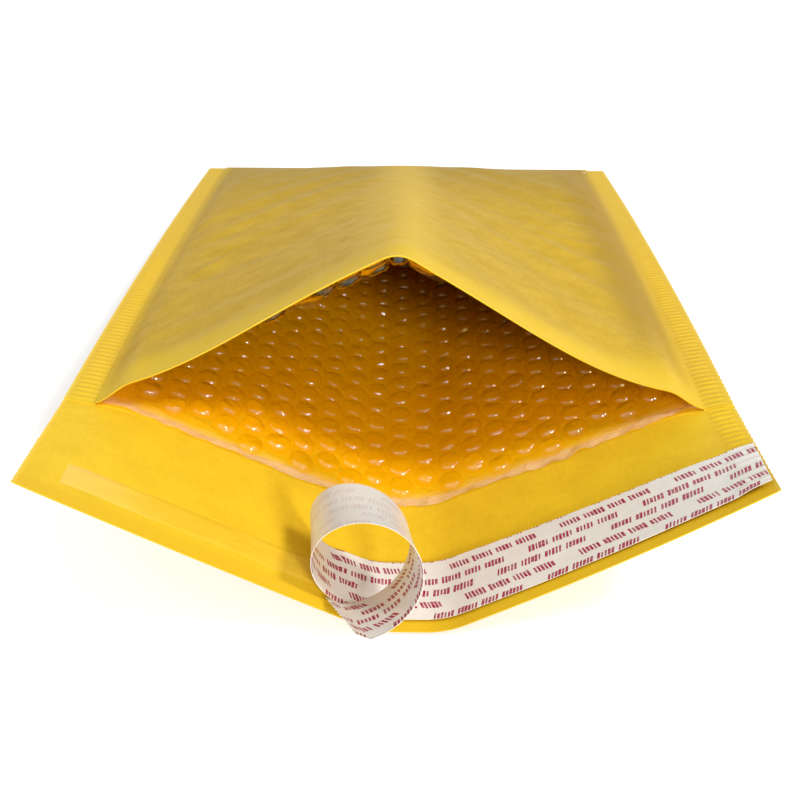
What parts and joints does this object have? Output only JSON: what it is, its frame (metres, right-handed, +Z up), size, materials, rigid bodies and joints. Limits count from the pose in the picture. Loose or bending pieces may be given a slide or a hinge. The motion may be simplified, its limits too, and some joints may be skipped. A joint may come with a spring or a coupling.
{
  "type": "bubble mailer",
  "caption": "Padded kraft envelope with bubble film lining, held open like a mouth, with a self-seal flap and a half-peeled release liner.",
  "frame": {"origin": "on the flat keel line that the mailer rests on, 6 mm inside the mouth", "axes": "+Y along the mailer from the mouth to the bottom fold, +X to the right seen from the mouth, +Z up"},
  "size_m": [0.241, 0.3885, 0.0908],
  "materials": {
    "kraft_paper": "matt golden kraft",
    "bubble_film": "clear glossy film over golden kraft",
    "seal_adhesive": "satin pressure-sensitive adhesive",
    "liner_paper": "smooth silicone-coated white paper with crimson marks"
  },
  "bodies": {
    "root": {"kraft_envelope": "kraft_paper", "bubble_lining": "bubble_film", "adhesive_strip": "seal_adhesive", "release_liner": "liner_paper"}
  },
  "joints": []
}
